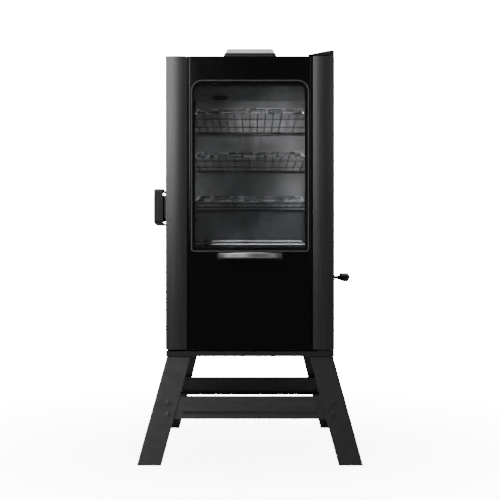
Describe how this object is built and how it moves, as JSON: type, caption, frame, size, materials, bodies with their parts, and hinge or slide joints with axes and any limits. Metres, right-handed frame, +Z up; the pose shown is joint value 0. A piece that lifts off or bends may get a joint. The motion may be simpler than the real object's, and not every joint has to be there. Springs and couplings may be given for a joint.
{
  "type": "electric cabinet smoker",
  "caption": "Black upright electric smoker cabinet with a windowed door, wire racks, side chip loader and roof control pod, on a splayed angle-leg stand.",
  "frame": {"origin": "on the ground under the middle of the object's box", "axes": "+Z up, front (door) towards -Y, latch on the -X side, door hinges and chip loader on the +X side"},
  "size_m": [0.574, 0.536, 1.097],
  "materials": {
    "stand_black": "satin",
    "cabinet_black": "satin powder coat",
    "rail_black": "satin, slightly brushed",
    "panel_gloss": "gloss enamel",
    "liner_steel": "brushed",
    "element_steel": "heat tinted",
    "enamel_black": "speckled enamel",
    "zinc_steel": "zinc plated",
    "black_steel": "black oxide",
    "rack_chrome": "bright plated wire",
    "handle_steel": "satin",
    "window_glass": "tinted",
    "display_glass": "gloss",
    "seal_rubber": "matte",
    "black_plastic": "fine texture",
    "silver_plastic": "satin silver",
    "button_grey": "satin",
    "board_green": "solder mask",
    "mineral_wool": "fibrous"
  },
  "bodies": {
    "cabinet": {"leg_front_left": "stand_black", "leg_front_right": "stand_black", "leg_rear_left": "stand_black", "leg_rear_right": "stand_black", "crossbar_front": "stand_black", "crossbar_rear": "stand_black", "stand_bolts": "black_steel", "base_pan": "cabinet_black", "shell_left": "cabinet_black", "shell_right": "cabinet_black", "shell_back": "cabinet_black", "shell_top": "cabinet_black", "liner_wrap": "liner_steel", "liner_back": "liner_steel", "liner_floor": "liner_steel", "insulation": "mineral_wool", "rack_rails": "liner_steel", "heating_element": "element_steel", "chip_tray_bracket": "liner_steel", "temperature_probe": "liner_steel", "loader_sleeve": "liner_steel", "vent_collar": "cabinet_black", "control_base": "black_plastic", "control_housing": "silver_plastic", "control_display": "display_glass", "control_board": "board_green", "hinge_brackets": "cabinet_black", "hinge_pins": "zinc_steel", "latch_base": "cabinet_black", "grease_tray_rails": "cabinet_black", "rear_cover": "cabinet_black", "power_inlet": "black_plastic", "panel_screws": "zinc_steel"},
    "door": {"door_rail_left": "rail_black", "door_rail_right": "rail_black", "door_panel": "panel_gloss", "window_seal": "seal_rubber", "glass_outer": "window_glass", "glass_inner": "window_glass", "door_insulation": "mineral_wool", "door_liner": "liner_steel", "door_gasket": "seal_rubber", "door_handle": "handle_steel", "latch_keeper": "cabinet_black"},
    "latch_lever": {"latch_lever": "black_plastic"},
    "loader_cap": {"loader_cap": "cabinet_black"},
    "loader_scoop": {"loader_scoop": "liner_steel", "loader_knob": "black_plastic"},
    "vent_damper": {"vent_damper": "cabinet_black"},
    "grease_tray": {"grease_tray": "liner_steel"},
    "chip_tray": {"chip_tray": "liner_steel"},
    "water_pan": {"water_pan": "enamel_black"},
    "rack_1": {"rack_1": "rack_chrome"},
    "rack_2": {"rack_2": "rack_chrome"},
    "rack_3": {"rack_3": "rack_chrome"},
    "rack_4": {"rack_4": "rack_chrome"},
    "button_power": {"button_power": "button_grey"},
    "button_light": {"button_light": "button_grey"},
    "button_down": {"button_down": "button_grey"},
    "button_up": {"button_up": "button_grey"}
  },
  "joints": [
    {"name": "door_swing", "type": "hinge", "parent": "cabinet", "child": "door", "pos_m": [0.212, -0.19, 0.67], "axis": [0, 0, 1], "range_deg": [0, 120]},
    {"name": "latch_turn", "type": "hinge", "parent": "cabinet", "child": "latch_lever", "pos_m": [-0.232, -0.135, 0.6625], "axis": [0, 0, -1], "range_deg": [0, 90]},
    {"name": "loader_slide", "type": "slide", "parent": "cabinet", "child": "loader_cap", "axis": [1, 0, 0], "range_m": [0, 0.17]},
    {"name": "loader_turn", "type": "hinge", "parent": "loader_cap", "child": "loader_scoop", "pos_m": [0.213, 0.01, 0.479], "axis": [1, 0, 0], "range_deg": [0, 180]},
    {"name": "vent_turn", "type": "hinge", "parent": "cabinet", "child": "vent_damper", "pos_m": [-0.09, 0.115, 1.0618], "axis": [0, 0, 1], "range_deg": [0, 45]},
    {"name": "grease_tray_slide", "type": "slide", "parent": "cabinet", "child": "grease_tray", "axis": [0, 1, 0], "range_m": [0, 0.15]},
    {"name": "chip_tray_slide", "type": "slide", "parent": "cabinet", "child": "chip_tray", "axis": [0, -1, 0], "range_m": [0, 0.09]},
    {"name": "water_pan_slide", "type": "slide", "parent": "cabinet", "child": "water_pan", "axis": [0, -1, 0], "range_m": [0, 0.015]},
    {"name": "rack_1_slide", "type": "slide", "parent": "cabinet", "child": "rack_1", "axis": [0, -1, 0], "range_m": [0, 0.02]},
    {"name": "rack_2_slide", "type": "slide", "parent": "cabinet", "child": "rack_2", "axis": [0, -1, 0], "range_m": [0, 0.02]},
    {"name": "rack_3_slide", "type": "slide", "parent": "cabinet", "child": "rack_3", "axis": [0, -1, 0], "range_m": [0, 0.02]},
    {"name": "rack_4_slide", "type": "slide", "parent": "cabinet", "child": "rack_4", "axis": [0, -1, 0], "range_m": [0, 0.02]},
    {"name": "button_power_press", "type": "slide", "parent": "cabinet", "child": "button_power", "axis": [0, 0.1699, -0.9855], "range_m": [0, 0.0012], "stiffness_N_per_m": 600},
    {"name": "button_light_press", "type": "slide", "parent": "cabinet", "child": "button_light", "axis": [0, 0.1699, -0.9855], "range_m": [0, 0.0012], "stiffness_N_per_m": 600},
    {"name": "button_down_press", "type": "slide", "parent": "cabinet", "child": "button_down", "axis": [0, 0.1699, -0.9855], "range_m": [0, 0.0012], "stiffness_N_per_m": 600},
    {"name": "button_up_press", "type": "slide", "parent": "cabinet", "child": "button_up", "axis": [0, 0.1699, -0.9855], "range_m": [0, 0.0012], "stiffness_N_per_m": 600}
  ]
}
